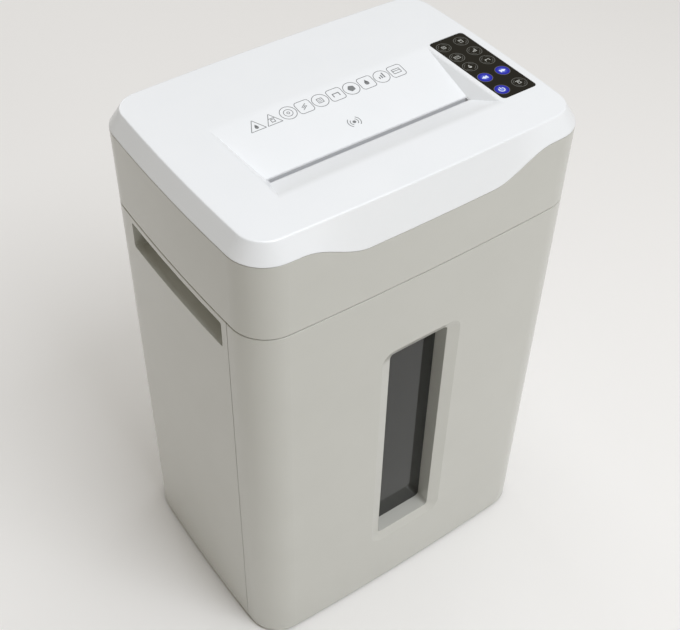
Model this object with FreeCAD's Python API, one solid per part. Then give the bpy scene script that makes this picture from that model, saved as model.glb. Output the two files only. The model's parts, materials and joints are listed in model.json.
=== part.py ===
import FreeCAD, Part
import math
import os

# Paper shredder with a pull-out waste bin, in millimetres.
# Origin: centre of the case outline, on the floor. +Z up, +X along the feed slot, front towards -Y.

Vector = FreeCAD.Vector

# Case outline: a rounded rectangle whose four sides bow outwards
width_at_corners = 376.0
depth_at_corners = 269.8
side_bow = 4.6
corner_radius = 38.5
wall = 2.8
half_width = width_at_corners / 2 + side_bow
half_depth = depth_at_corners / 2 + side_bow

# Levels
foot_height = 4.0
foot_radius = 15.0
foot_places = [(x, y) for x in (-150.0, 150.0) for y in (-75.0, 100.0)]
base_z = foot_height
seam_z = foot_height + 489.3
cover_z = foot_height + 574.6
top_z = foot_height + 592.5
seam_gap = 0.8
parting_gap = 0.5
join_overlap = 0.2
edge_radius = 1.2

# Top cover: sloped fascia with a dip at the front, feed recess and slot
fascia_inset = 11.6
cover_dip = 22.4
dip_outer_x = 138.0
dip_inner_x = 70.0
recess_half_width = 124.5
recess_front_y = -78.0
recess_rear_y = 35.0
recess_depth = 11.0
slot_length = 225.0
slot_gap = 4.6
slot_y = -45.0
recess_edge_radii = {"front": 26.0, "rear": 60.0, "side": 5.0}
throat_wall = 1.0
throat_flange = 12.0

# Control panel
panel_x = (129.0, 171.0)
panel_y = (-76.5, 37.0)
panel_radius = 4.0
glass_thickness = 1.6

# Split between the bin front and the cabinet, hand grips
split_y = -92.0
split_gap = 0.8
bay_front_y = split_y + split_gap / 2
grip_half_length = 83.0
grip_z = (foot_height + 451.0, foot_height + 482.0)
grip_depth = 20.0
grip_wall = 2.5
ledge_width = 20.0
catch_places = [-60.0, 60.0]
catch_z = seam_z - 14.0
interlock_x = (124.0, 136.0)
interlock_y = (-134.0, -129.0)

# Window in the bin front
window_half_width = 36.0
window_z = (foot_height + 90.0, foot_height + 391.0)
bevel_half_width = 50.0
bevel_z = (foot_height + 80.0, foot_height + 402.0)
bevel_depth = 5.5
window_tube_wall = 2.5
pane_y = -117.5
pane_thickness = 2.5

# Waste tub, glides and runners
tub_half_width = 178.0
tub_y = (-114.7, 118.0)
tub_z = (foot_height + 10.0, foot_height + 436.0)
tub_wall = 2.4
tub_corner = 12.0
base_thickness = 3.0
runner_x = 150.0
runner_width = 16.0
slide_gap = 0.3
runner_tread = 2.0
bracket_places = [-115.0, 115.0]
bracket_y = (-134.2, tub_y[0])
tub_screw_heights = [base_z + 90, base_z + 370]

# Cutters: discs on two shafts, each disc running between two of the other shaft
cutter_z = foot_height + 528.0
cutter_spacing = 34.0
front_shaft_y = slot_y - cutter_spacing / 2
rear_shaft_y = slot_y + cutter_spacing / 2
disc_pitch = 8.0
disc_thickness = 3.4
rear_disc_count = 27
disc_tip_radius = 20.0
core_radius = 12.0
journal_radius = 8.0
running_clearance = 0.05
comb_reach = 27.0
chute_x = 117.0
chute_y = (front_shaft_y - 22.0, rear_shaft_y + 22.0)
throat_bottom_z = cutter_z + 16.5
sensor_z = throat_bottom_z + 14.0

# Chassis
plate_inner_x = 119.5
plate_thickness = 3.0
plate_outer_x = plate_inner_x + plate_thickness
floor_thickness = 3.0
floor_z = seam_z + seam_gap / 2
chassis_z = floor_z + floor_thickness
chassis_top_z = foot_height + 570.0
chassis_y = (-98.0, 122.0)
bush_radius = 11.0
rod_radius = 4.0
rod_places = [
    (front_shaft_y - comb_reach, cutter_z),
    (rear_shaft_y + comb_reach, cutter_z),
    (front_shaft_y - comb_reach, chassis_top_z - 10),
    (rear_shaft_y + comb_reach, chassis_top_z - 10),
]
board_x = (144.0, 184.0)
board_y = (-58.0, 62.0)
board_z = chassis_z + 6.0

# Screws
case_screw_radius = 2.0
case_screw_places = [(x, y) for x in (-140.0, 140.0) for y in (-82.0, 128.0)]
cover_boss_radius = 5.0
cover_screw_places = [(x, y) for x in (-160.0, 160.0) for y in (-110.0, 110.0)]
hole_clearance = 0.1

# Gear train, from the rear cutter back to the motor
pressure_angle = math.radians(25.0)
addendum = 0.8
dedendum = 1.15
tooth_thinning = 0.12
timing_teeth = 17
timing_module = 2.0
output_teeth = 30
output_module = 2.0
second_teeth = 40
second_module = 1.5
first_teeth = 60
first_module = 1.0
pinion_teeth = 12
second_stage_angle = math.radians(20.0)
first_stage_angle = math.radians(-20.0)
motor_stage_angle = math.radians(0.0)
stud_radius = 4.0
output_x = (-133.0, -125.0)
second_pinion_x = (-134.0, -124.5)
second_wheel_x = (-140.5, -134.0)
first_pinion_x = (-141.5, -134.5)
first_wheel_x = (-147.0, -141.5)
motor_pinion_x = (-147.5, -140.5)
timing_x = (125.0, 135.0)
gearbox_end_x = -151.5
motor_radius = 31.0
motor_length = 92.0
motor_shaft_radius = 4.0

# Rear panel with the mains inlet and the power switch
rear_panel_x = (58.0, 148.0)
rear_panel_z = (foot_height + 508.0, foot_height + 546.0)
rear_panel_y = 133.3
inlet_x = 122.0
switch_x = 80.0
rear_fittings_z = (rear_panel_z[0] + rear_panel_z[1]) / 2
rocker_y = rear_panel_y - 3.0
rocker_off_tilt = 10.0
vent_count = 14
vent_pitch = 8.0
vent_start_x = -112.0


# ---------------------------------------------------------------- basic shapes

def box(x, y, z):
    """Block between the two values of each pair."""
    corner = Vector(min(x), min(y), min(z))
    return Part.makeBox(abs(x[1] - x[0]), abs(y[1] - y[0]), abs(z[1] - z[0]), corner)


def rod_x(radius, x, y, z):
    """Cylinder along X between two places."""
    return Part.makeCylinder(radius, abs(x[1] - x[0]), Vector(min(x), y, z), Vector(1, 0, 0))


def rod_y(radius, y, x, z):
    """Cylinder along Y between two places."""
    return Part.makeCylinder(radius, abs(y[1] - y[0]), Vector(x, min(y), z), Vector(0, 1, 0))


def rod_z(radius, z, x, y):
    """Upright cylinder between two heights."""
    return Part.makeCylinder(radius, abs(z[1] - z[0]), Vector(x, y, min(z)))


def tube_x(outer, inner, x, y, z):
    """Ring or sleeve along X."""
    return rod_x(outer, x, y, z).cut(rod_x(inner, (min(x) - 1, max(x) + 1), y, z))


def rounded_wire(u, v, radius, place):
    """Closed rounded rectangle; place turns the two flat values into a point."""
    (u0, u1), (v0, v1) = u, v
    bend = radius * (1 - math.sqrt(0.5))
    corners = [
        ((u0 + radius, v0), (u1 - radius, v0), (u1 - bend, v0 + bend), (u1, v0 + radius)),
        ((u1, v0 + radius), (u1, v1 - radius), (u1 - bend, v1 - bend), (u1 - radius, v1)),
        ((u1 - radius, v1), (u0 + radius, v1), (u0 + bend, v1 - bend), (u0, v1 - radius)),
        ((u0, v1 - radius), (u0, v0 + radius), (u0 + bend, v0 + bend), (u0 + radius, v0)),
    ]
    edges = []
    for start, straight_end, middle, end in corners:
        edges.append(Part.makeLine(place(*start), place(*straight_end)))
        edges.append(Part.Arc(place(*straight_end), place(*middle), place(*end)).toShape())
    return Part.Wire(edges)


def rounded_block(x, y, z, radius):
    """Block with rounded upright edges."""
    wire = rounded_wire(x, y, radius, lambda u, v: Vector(u, v, min(z)))
    return Part.Face(wire).extrude(Vector(0, 0, abs(z[1] - z[0])))


def rounded_block_y(x, z, y, radius):
    """Block with rounded edges along Y."""
    wire = rounded_wire(x, z, radius, lambda u, v: Vector(u, min(y), v))
    return Part.Face(wire).extrude(Vector(0, abs(y[1] - y[0]), 0))


def rounded_block_x(y, z, x, radius):
    """Block with rounded edges along X."""
    wire = rounded_wire(y, z, radius, lambda u, v: Vector(min(x), u, v))
    return Part.Face(wire).extrude(Vector(abs(x[1] - x[0]), 0, 0))


def fused(first, *others):
    """One solid from several that touch or overlap."""
    return first.multiFuse(list(others)).removeSplitter()


def cable(points, radius):
    """Round cable through the points, its bends rounded as widely as the runs allow."""
    edges = []
    start = points[0]
    for before, corner, after in zip(points, points[1:], points[2:]):
        arrive = (corner - before).normalize()
        leave = (after - corner).normalize()
        reach = 0.45 * min((corner - before).Length, (after - corner).Length)
        arc_start = corner - arrive * reach
        arc_end = corner + leave * reach
        turn = arrive.getAngle(leave)
        bisector = (leave - arrive).normalize()
        bend_radius = reach / math.tan(turn / 2)
        depth = bend_radius / math.cos(turn / 2) - bend_radius
        edges.append(Part.makeLine(start, arc_start))
        edges.append(Part.Arc(arc_start, corner + bisector * depth, arc_end).toShape())
        start = arc_end
    edges.append(Part.makeLine(start, points[-1]))
    path = Part.Wire(edges)
    circle = Part.Circle(points[0], points[1] - points[0], radius).toShape()
    return path.makePipeShell([Part.Wire([circle])], True, False)


# ---------------------------------------------------------------- case outline

front_arc_radius = ((width_at_corners / 2) ** 2 + side_bow ** 2) / (2 * side_bow)
side_arc_radius = ((depth_at_corners / 2) ** 2 + side_bow ** 2) / (2 * side_bow)
front_centre_y = front_arc_radius - half_depth
side_centre_x = half_width - side_arc_radius


def corner_centre():
    """Centre of the front-right corner arc, tangent to the front and right arcs."""
    a = Vector(0, front_centre_y, 0)
    b = Vector(side_centre_x, 0, 0)
    ra = front_arc_radius - corner_radius
    rb = side_arc_radius - corner_radius
    gap = (b - a).Length
    along = (ra ** 2 - rb ** 2 + gap ** 2) / (2 * gap)
    across = math.sqrt(ra ** 2 - along ** 2)
    direction = (b - a).normalize()
    normal = Vector(-direction.y, direction.x, 0)
    found = [a + direction * along + normal * across, a + direction * along - normal * across]
    return next(p for p in found if p.x > 0 > p.y)


def outline_arcs():
    """The outline's arcs, counter-clockwise from the front left.

    Each is (centre x, centre y, radius, start angle, end angle, drop at the start, drop at the end).
    The front arc is split where the cover's edge starts and ends its dip.
    """
    k = corner_centre()
    front_end = math.atan2(k.y - front_centre_y, k.x)
    side_start = math.atan2(k.y, k.x - side_centre_x)
    stops = [-math.pi - front_end]
    stops += [math.asin(x / front_arc_radius) - math.pi / 2
              for x in (-dip_outer_x, -dip_inner_x, dip_inner_x, dip_outer_x)]
    stops += [front_end]
    drops = [0, 0, 1, 1, 0, 0]
    arcs = [(0, front_centre_y, front_arc_radius, stops[i], stops[i + 1], drops[i], drops[i + 1])
            for i in range(5)]
    turn = math.pi
    arcs += [
        (k.x, k.y, corner_radius, front_end, side_start, 0, 0),
        (side_centre_x, 0, side_arc_radius, side_start, -side_start, 0, 0),
        (k.x, -k.y, corner_radius, -side_start, -front_end, 0, 0),
        (0, -front_centre_y, front_arc_radius, -front_end, turn + front_end, 0, 0),
        (-k.x, -k.y, corner_radius, turn + front_end, turn + side_start, 0, 0),
        (-side_centre_x, 0, side_arc_radius, turn + side_start, turn - side_start, 0, 0),
        (-k.x, k.y, corner_radius, turn - side_start, turn - front_end, 0, 0),
    ]
    return arcs


case_arcs = outline_arcs()


def loop(inset, z, dip=0.0):
    """Edges round the case at an inset from its outline, falling by dip at the front's middle."""
    edges = []
    for cx, cy, full_radius, start, end, drop_start, drop_end in case_arcs:
        radius = full_radius - inset

        def point(share):
            angle = start + (end - start) * share
            ease = share * share * (3 - 2 * share)
            drop = drop_start + (drop_end - drop_start) * ease
            return Vector(cx + radius * math.cos(angle), cy + radius * math.sin(angle), z - dip * drop)

        if dip and drop_start != drop_end:
            curve = Part.BSplineCurve()
            curve.interpolate([point(i / 12) for i in range(13)])
            edges.append(curve.toShape())
        else:
            edges.append(Part.Arc(point(0), point(0.5), point(1)).toShape())
    return edges


def sewn(faces):
    """Solid closed by the faces."""
    shell = Part.makeShell(faces)
    shell.sewShape()
    solid = Part.makeSolid(shell)
    if solid.Volume < 0:
        solid.reverse()
    return solid


def bands(loops):
    """Ruled faces between each loop and the next."""
    faces = []
    for lower, upper in zip(loops, loops[1:]):
        faces += [Part.makeRuledSurface(a, b) for a, b in zip(lower, upper)]
    return faces


def ring(profile):
    """Wall all round the case, from a closed profile of (inset, height, dip)."""
    loops = [loop(*station) for station in profile]
    return sewn(bands(loops + loops[:1]))


def slab(inset, z):
    """Plate of the case's outline at an inset."""
    face = Part.Face(Part.Wire(loop(inset, z[0])))
    return face.extrude(Vector(0, 0, z[1] - z[0]))


def rounded_edge(inset, z, step):
    """Three chords of the rounding at a wall's outer edge; step is +1 at a top edge, -1 at a bottom one."""
    stations = []
    for i in range(4):
        angle = math.radians(30 * i)
        stations.append((inset + edge_radius * (1 - math.cos(angle)),
                         z - step * edge_radius * (1 - math.sin(angle))))
    return stations


# ---------------------------------------------------------------- cabinet

def cabinet_walls():
    """Sides and rear of the cabinet, with the ledge that the head stands on."""
    top = seam_z - seam_gap / 2
    ledge_top = seam_z + seam_gap / 2
    outside = [(0, base_z)] + rounded_edge(0, top, 1)
    inside = [
        (wall + 0.4, top),
        (wall + 0.4, ledge_top),
        (ledge_width, ledge_top),
        (ledge_width, ledge_top - wall),
        (wall, ledge_top - wall),
        (wall, base_z),
    ]
    return ring(outside + inside)


def chute(bottom):
    """Block of the waste chute, down to a height."""
    return box((-chute_x, chute_x), chute_y, (bottom, chassis_z + 10))


def cross_beam():
    """Beam over the mouth of the bin bay, joining the two sides."""
    front = bay_front_y
    ledge_top = seam_z + seam_gap / 2
    reach = half_width - wall - 5
    flange = box((-reach, reach), (front, front + ledge_width), (ledge_top - wall, ledge_top))
    web = box((-reach, reach), (front, front + wall), (ledge_top - ledge_width, ledge_top))
    return [flange, web]


def grip_face_x():
    """How far out the back of the hand grip pocket stands."""
    return half_width - grip_depth


def hand_grip(side):
    """Walls of one hand grip pocket, before its hollow is cut."""
    inner = grip_face_x() - grip_wall
    outer = half_width - wall + join_overlap
    return box((side * inner, side * outer),
               (-grip_half_length - grip_wall, grip_half_length + grip_wall),
               (grip_z[0] - grip_wall, grip_z[1] + grip_wall))


def grip_hollow(side):
    """Hollow of one hand grip pocket, open at the side."""
    wire_x = side * grip_face_x()
    return rounded_block_x((-grip_half_length, grip_half_length), grip_z,
                           (wire_x, side * (half_width + 5)), 3.0)


def cabinet_shell():
    """Moulded cabinet, open at the front for the bin."""
    open_front = box((-half_width - 5, half_width + 5), (-half_depth - 5, bay_front_y), (0, top_z))
    shell = cabinet_walls().cut(open_front)
    parts = cross_beam() + [hand_grip(-1), hand_grip(1)]
    shell = shell.fuse(parts)
    shell = shell.cut([grip_hollow(-1), grip_hollow(1), chute(seam_z - 40)])
    shell = shell.cut([rod_z(case_screw_radius + hole_clearance, (seam_z - 30, seam_z + 2), x, y)
                       for x, y in case_screw_places])
    return shell.removeSplitter()


def base_plate():
    """Floor of the cabinet, inside its walls."""
    plate = slab(wall + 0.1, (base_z, base_z + base_thickness))
    plate = plate.cut(box((-half_width, half_width), (-half_depth, bay_front_y), (0, 20)))
    for x, y in foot_places:
        plate = plate.cut(rod_z(2.1, (0, 20), x, y))
    return plate


def rubber_feet():
    """Four round pads with a plug that snaps into the base."""
    feet = []
    for x, y in foot_places:
        pad = rod_z(foot_radius, (0, foot_height), x, y)
        rim = [e for e in pad.Edges if e.BoundBox.ZMax < 0.01]
        pad = pad.makeChamfer(0.8, rim)
        plug = rod_z(2.0, (foot_height, foot_height + base_thickness), x, y)
        feet.append(pad.fuse(plug))
    return Part.makeCompound(feet)


def bin_runners():
    """Two rails on the base with an outer lip, on which the bin slides."""
    z0 = base_z + base_thickness
    y = (split_y + 6, tub_y[1] + 8)
    rails = []
    for side in (-1, 1):
        tread = box((side * (runner_x - runner_width / 2), side * (runner_x + runner_width / 2)),
                    y, (z0, z0 + runner_tread))
        lip = box((side * (runner_x + runner_width / 2), side * (runner_x + runner_width / 2 + 3)),
                  y, (z0, z0 + 5))
        rails.append(fused(tread, lip))
    return Part.makeCompound(rails)


# ---------------------------------------------------------------- bin

def bin_front_walls():
    """Front of the bin, wrapping both front corners, with a turned-in rim at top and bottom."""
    top = seam_z - seam_gap / 2
    rim = 12.0
    outside = rounded_edge(0, base_z, -1)[::-1] + rounded_edge(0, top, 1)
    inside = [
        (rim, top),
        (rim, top - wall),
        (wall, top - wall),
        (wall, base_z + wall),
        (rim, base_z + wall),
        (rim, base_z),
    ]
    return ring(outside + inside)


def bevel_cutter():
    """Sloped surround of the window, from the bin's face in to the opening."""
    face_y = -half_depth - 0.2
    lip_y = face_y + bevel_depth
    outer = rounded_wire((-bevel_half_width, bevel_half_width), bevel_z, 15.0,
                         lambda u, v: Vector(u, face_y, v))
    inner = rounded_wire((-window_half_width, window_half_width), window_z, 5.0,
                         lambda u, v: Vector(u, lip_y, v))
    return Part.makeLoft([outer, inner], True, True)


def window_opening(grow, y):
    """Block of the window opening, grown by an amount."""
    return rounded_block_y((-window_half_width - grow, window_half_width + grow),
                           (window_z[0] - grow, window_z[1] + grow), y, 5.0 + grow)


def bin_front():
    """Bin front with the bevelled window and the tube that holds the pane."""
    rear = split_y - split_gap / 2
    keep_front = box((-half_width - 5, half_width + 5), (rear, half_depth + 5), (0, top_z))
    shell = bin_front_walls().cut(keep_front)
    backing_y = -half_depth + 1.0
    backing = rounded_block_y((-bevel_half_width - 3, bevel_half_width + 3),
                              (bevel_z[0] - 3, bevel_z[1] + 3),
                              (backing_y, -half_depth + bevel_depth + 2.2), 18.0)
    tube = window_opening(window_tube_wall, (backing_y, pane_y))
    shell = shell.fuse([backing, tube])
    shell = shell.cut(bevel_cutter())
    shell = shell.cut(window_opening(0, (-half_depth - 5, pane_y + 5)))
    return shell.removeSplitter()


def window_pane():
    """Smoked pane behind the window tube."""
    grow = 6.0
    return window_opening(grow, (pane_y, pane_y + pane_thickness))


def waste_tub():
    """Open-topped tub fixed behind the bin front, with a window opening and a rolled rim."""
    x = (-tub_half_width, tub_half_width)
    inner_x = (x[0] + tub_wall, x[1] - tub_wall)
    inner_y = (tub_y[0] + tub_wall, tub_y[1] - tub_wall)
    tub = rounded_block(x, tub_y, tub_z, tub_corner)
    rim = rounded_block((x[0] - 3, x[1] + 3), (tub_y[0], tub_y[1] + 3),
                        (tub_z[1] - 8, tub_z[1]), tub_corner + 3)
    tub = tub.fuse(rim)
    hollow = rounded_block(inner_x, inner_y, (tub_z[0] + tub_wall, tub_z[1] + 5),
                           tub_corner - tub_wall)
    return tub.cut([hollow, window_opening(-2.0, (tub_y[0] - 5, tub_y[0] + 10))]).removeSplitter()


def tub_brackets():
    """Two pressed channels that join the tub to the bin front."""
    channels = []
    y = bracket_y
    z = (base_z + 60, base_z + 400)
    for x in bracket_places:
        outer = box((x - 11, x + 11), y, z)
        inner = box((x - 9.5, x + 9.5), (y[0] + 1.5, y[1] - 1.5), z)
        slot = box((x, x + 12), (y[0] + 1.5, y[1] - 1.5), z)
        channel = outer.cut([inner, slot])
        holes = [rod_y(2.1, (y[1] - 3, y[1] + 1), x - 4, zz) for zz in tub_screw_heights]
        channels.append(channel.cut(holes))
    return Part.makeCompound(channels)


def bin_glides():
    """Four low-friction pads under the tub."""
    z0 = base_z + base_thickness + runner_tread + slide_gap
    pads = []
    for side in (-1, 1):
        for y in (-80.0, 90.0):
            pads.append(box((side * (runner_x - 6), side * (runner_x + 6)), (y - 12, y + 12),
                            (z0, tub_z[0])))
    return Part.makeCompound(pads)


def catch_magnets():
    """Two magnets in the cross beam that hold the bin shut."""
    return Part.makeCompound([rod_y(6.0, (bay_front_y - 1.0, bay_front_y), x, catch_z)
                              for x in catch_places])


def strike_arms():
    """Two steel arms on the bin front that meet the catch magnets."""
    arms = []
    front = bay_front_y - 1.0 - slide_gap
    rear = -half_depth + wall + 1.2
    for x in catch_places:
        plate = box((x - 9, x + 9), (front - 1.5, front), (catch_z - 9, catch_z + 9))
        arm = box((x - 5, x + 5), (rear, front - 1.5), (catch_z - 1, catch_z + 1))
        foot = box((x - 9, x + 9), (rear, rear + 1.5), (catch_z - 9, catch_z + 9))
        arms.append(fused(plate, arm, foot))
    return Part.makeCompound(arms)


def interlock_magnet():
    """Magnet block on the bin that closes the reed switch when the bin is in."""
    return box(interlock_x, interlock_y, (catch_z - 6, catch_z + 6))


def reed_switch():
    """Reed switch on the cross beam, facing the bin's magnet."""
    x = (interlock_x[0] - 4, interlock_x[1] + 4)
    return rounded_block_y(x, (catch_z - 5, catch_z + 5), (bay_front_y - 6, bay_front_y), 1.5)


# ---------------------------------------------------------------- head

def head_walls():
    """Side wall of the head, following the cover's dip, with a lip inside the cover."""
    bottom = seam_z + seam_gap / 2
    top = cover_z - parting_gap
    lip_inset = wall + 0.3
    outside = [(inset, z, 0) for inset, z in rounded_edge(0, bottom, -1)[::-1]]
    shoulder = [
        (0, top - 0.4, cover_dip),
        (0.4, top, cover_dip),
        (lip_inset, top, cover_dip),
        (lip_inset + 2.2, top + 3.4, cover_dip),
        (lip_inset + 3.6, top + 3.4, cover_dip),
        (lip_inset + 1.4, top - 2.0, cover_dip),
        (wall + 1.7, bottom + floor_thickness, 0),
        (wall + 1.7, bottom, 0),
    ]
    return ring(outside + shoulder)


def rear_panel_blocks():
    """Recessed panel in the rear wall: the block that is added and the hollow that is cut."""
    x, z = rear_panel_x, rear_panel_z
    added = box((x[0] - wall, x[1] + wall), (rear_panel_y - wall, half_depth - 4),
                (z[0] - wall, z[1] + wall))
    hollow = rounded_block_y(x, z, (rear_panel_y, half_depth + 5), 3.0)
    return added, hollow


def rear_vents():
    """Cooling slots behind the motor."""
    slots = []
    for i in range(vent_count):
        x = vent_start_x + vent_pitch * i
        slots.append(rounded_block_y((x - 1.5, x + 1.5), (floor_z + 20, floor_z + 62),
                                     (half_depth - 12, half_depth + 5), 1.45))
    return slots


def head_housing():
    """Grey case of the head: wall, floor with the waste chute, rear panel and vents."""
    floor = slab(wall + 1.0, (floor_z, floor_z + floor_thickness))
    added, hollow = rear_panel_blocks()
    housing = head_walls().fuse([floor, added])
    cuts = [chute(floor_z - 5), hollow, inlet_hole(), switch_hole()] + rear_vents()
    cuts += [rod_z(case_screw_radius, (floor_z - 5, floor_z + 10), x, y) for x, y in case_screw_places]
    cuts += [rod_z(case_screw_radius + hole_clearance, (floor_z - 5, floor_z + 10), x, y)
             for x, y in cover_screw_places]
    return housing.cut(cuts).removeSplitter()


def run_in(depth, angle, radius):
    """How far a slope has run in at a depth, from the start of the rounding at its top edge."""
    if depth < radius * (1 - math.cos(angle)):
        return math.sqrt(2 * radius * depth - depth ** 2)
    return radius * math.tan(angle / 2) + depth / math.tan(angle)


def recess_solid(grow, depths, rounded):
    """Inverted pyramid of the feed recess, from the strip that holds the slot up to the depths given."""
    half_strip = slot_gap / 2 + throat_wall + 0.4
    half_length = slot_length / 2 + throat_wall + 0.4
    runs = {
        "front": slot_y - half_strip - recess_front_y,
        "rear": recess_rear_y - slot_y - half_strip,
        "side": recess_half_width - half_length,
    }
    sections = []
    for depth in depths:
        left = {}
        for name, run in runs.items():
            angle = math.atan2(recess_depth, run)
            radius = recess_edge_radii[name] if rounded else 0.0
            left[name] = run + radius * math.tan(angle / 2) - run_in(depth, angle, radius) + grow
        x = half_length + left["side"]
        y0 = slot_y - half_strip - left["front"]
        y1 = slot_y + half_strip + left["rear"]
        z = top_z - depth - grow
        sections.append(Part.makePolygon([Vector(-x, y0, z), Vector(x, y0, z), Vector(x, y1, z),
                                          Vector(-x, y1, z), Vector(-x, y0, z)]))
    return Part.makeLoft(sections, True, True)


def cover_shell():
    """White cover: flat top, sloped fascia and hollow underside."""
    inner = fascia_inset + 1.6
    outside = [
        (0, cover_z, cover_dip),
        (fascia_inset - 0.5, top_z - 0.9, 0),
        (fascia_inset + 0.1, top_z - 0.3, 0),
        (fascia_inset + 1.1, top_z, 0),
    ]
    inside = [(0, cover_z, cover_dip), (wall, cover_z, cover_dip), (inner, top_z - wall, 0)]
    outer_loops = [loop(*s) for s in outside]
    inner_loops = [outer_loops[0]] + [loop(*s) for s in inside[1:]]
    caps = [Part.Face(Part.Wire(outer_loops[-1])), Part.Face(Part.Wire(inner_loops[-1]))]
    return sewn(bands(outer_loops) + bands(inner_loops) + caps)


def cover_bosses():
    """Screw posts from the cover down to the head's floor."""
    return [rod_z(cover_boss_radius, (chassis_z, top_z - wall + 0.5), x, y)
            for x, y in cover_screw_places]


def panel_pocket():
    """Seat of the control glass in the cover, with a hole for its cable."""
    x = (panel_x[0] - 0.3, panel_x[1] + 0.3)
    y = (panel_y[0] - 0.3, panel_y[1] + 0.3)
    seat = rounded_block(x, y, (top_z - glass_thickness - 0.1, top_z + 5), panel_radius + 0.3)
    passage = rounded_block((x[0] + 6, x[1] - 6), (y[1] - 16, y[1] - 6), (top_z - 10, top_z), 2.0)
    return seat.fuse(passage)


def top_cover():
    """Top cover with the feed recess, the slot and the seat of the control glass."""
    cover = cover_shell()
    pan = recess_solid(wall, [recess_depth, 0.0], False)
    cover = cover.fuse([pan] + cover_bosses())
    recess = recess_solid(0, [recess_depth, 1.6, 1.1, 0.7, 0.4, 0.18, 0.05, 0.0], True)
    cover = cover.cut(recess)
    half_slot = slot_gap / 2 + throat_wall + 0.15
    half_length = slot_length / 2 + throat_wall + 0.15
    slot = box((-half_length, half_length), (slot_y - half_slot, slot_y + half_slot),
               (top_z - 30, top_z))
    screw_holes = [rod_z(case_screw_radius, (chassis_z - 5, chassis_z + 18), x, y)
                   for x, y in cover_screw_places]
    return cover.cut([slot, panel_pocket()] + screw_holes).removeSplitter()


def control_glass():
    """Black glass of the touch panel, flush with the cover."""
    glass = rounded_block(panel_x, panel_y, (top_z - 0.1 - glass_thickness, top_z - 0.1), panel_radius)
    rim = [e for e in glass.Edges if e.BoundBox.ZMin > top_z - 0.2]
    return glass.makeChamfer(0.3, rim)


def touch_board():
    """Circuit board of the touch panel under the cover."""
    z = top_z - wall - 0.2
    return rounded_block((panel_x[0] + 1, panel_x[1] - 1), (panel_y[0] + 1, panel_y[1] - 1),
                         (z - 1.6, z), 4.0)


def feed_throat():
    """Guide from the slot down to the cutters, with a flange under the cover."""
    gap_x = slot_length / 2
    gap_y = slot_gap / 2
    pan_z = top_z - recess_depth - wall
    body = box((-gap_x - throat_wall, gap_x + throat_wall),
               (slot_y - gap_y - throat_wall, slot_y + gap_y + throat_wall),
               (throat_bottom_z, top_z - recess_depth - 0.4))
    flange = box((-gap_x - 3, gap_x + 3), (slot_y - throat_flange, slot_y + throat_flange),
                 (pan_z - 2, pan_z))
    gap = box((-gap_x, gap_x), (slot_y - gap_y, slot_y + gap_y), (throat_bottom_z - 5, top_z))
    sight = rod_y(2.0, (slot_y - 15, slot_y + 15), 0, sensor_z)
    return fused(body, flange).cut([gap, sight])


def paper_sensor():
    """Light source and receiver facing each other across the throat."""
    offset = slot_gap / 2 + throat_wall
    halves = []
    for side in (-1, 1):
        face = slot_y + side * offset
        block = box((-6, 6), (face, face + side * 7), (sensor_z - 6, sensor_z + 6))
        halves.append(block)
    return Part.makeCompound(halves)


# ---------------------------------------------------------------- chassis

def side_plate(side):
    """Steel plate at one end of the cutters, with a foot turned outwards."""
    rear = chassis_y[1] if side < 0 else rear_shaft_y + 40
    x = (side * plate_inner_x, side * plate_outer_x)
    plate = rounded_block_x((chassis_y[0], rear), (chassis_z, chassis_top_z), x, 6.0)
    foot_x = (side * plate_inner_x, side * (plate_outer_x + 10))
    foot_y = (chassis_y[0] + 6, rear - 6) if side > 0 else (chassis_y[0] + 6, -70.0)
    foot = box(foot_x, foot_y, (chassis_z, chassis_z + 2.5))
    holes = [rod_x(bush_radius + 0.05, (side * 110, side * 130), y, cutter_z)
             for y in (front_shaft_y, rear_shaft_y)]
    holes += [rod_x(rod_radius + 0.05, (side * 110, side * 130), y, z) for y, z in rod_places]
    if side < 0:
        holes += [rod_x(stud_radius + 0.05, (-130, -110), y, z) for y, z in stud_places]
        holes += [rod_x(10.0, (-130, -110), motor_y, motor_z)]
    return fused(plate, foot).cut(holes)


def shaft_bushes():
    """Flanged sintered bushes of the two cutter shafts."""
    bushes = []
    for side in (-1, 1):
        for y in (front_shaft_y, rear_shaft_y):
            sleeve = tube_x(bush_radius, journal_radius + running_clearance,
                            (side * (plate_inner_x - 2), side * plate_outer_x), y, cutter_z)
            flange = tube_x(14.0, journal_radius + running_clearance,
                            (side * (plate_inner_x - 2), side * plate_inner_x), y, cutter_z)
            bushes.append(fused(sleeve, flange))
    return Part.makeCompound(bushes)


def tie_rods():
    """Four rods that hold the side plates apart and carry the combs."""
    rods = []
    for y, z in rod_places:
        rod = rod_x(rod_radius, (-plate_outer_x - 1.2, plate_outer_x + 1.2), y, z)
        rods.append(rod)
    return Part.makeCompound(rods)


def disc_places(count):
    """Disc centres along X."""
    return [(i - (count - 1) / 2) * disc_pitch for i in range(count)]


front_discs = disc_places(rear_disc_count + 1)
rear_discs = disc_places(rear_disc_count)


def hooked_disc(x, y, turn):
    """Cutting disc with five hooked teeth."""
    hook_count = 5
    hook = [(disc_tip_radius, 0), (16.4, 7), (17.2, 24), (18.8, 48)]
    points = []
    for i in range(hook_count):
        for radius, degrees in hook:
            angle = math.radians(i * 360 / hook_count + degrees + turn)
            points.append(Vector(x - disc_thickness / 2, y + radius * math.cos(angle),
                                 cutter_z + radius * math.sin(angle)))
    face = Part.Face(Part.makePolygon(points + points[:1]))
    return face.extrude(Vector(disc_thickness, 0, 0))


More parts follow.
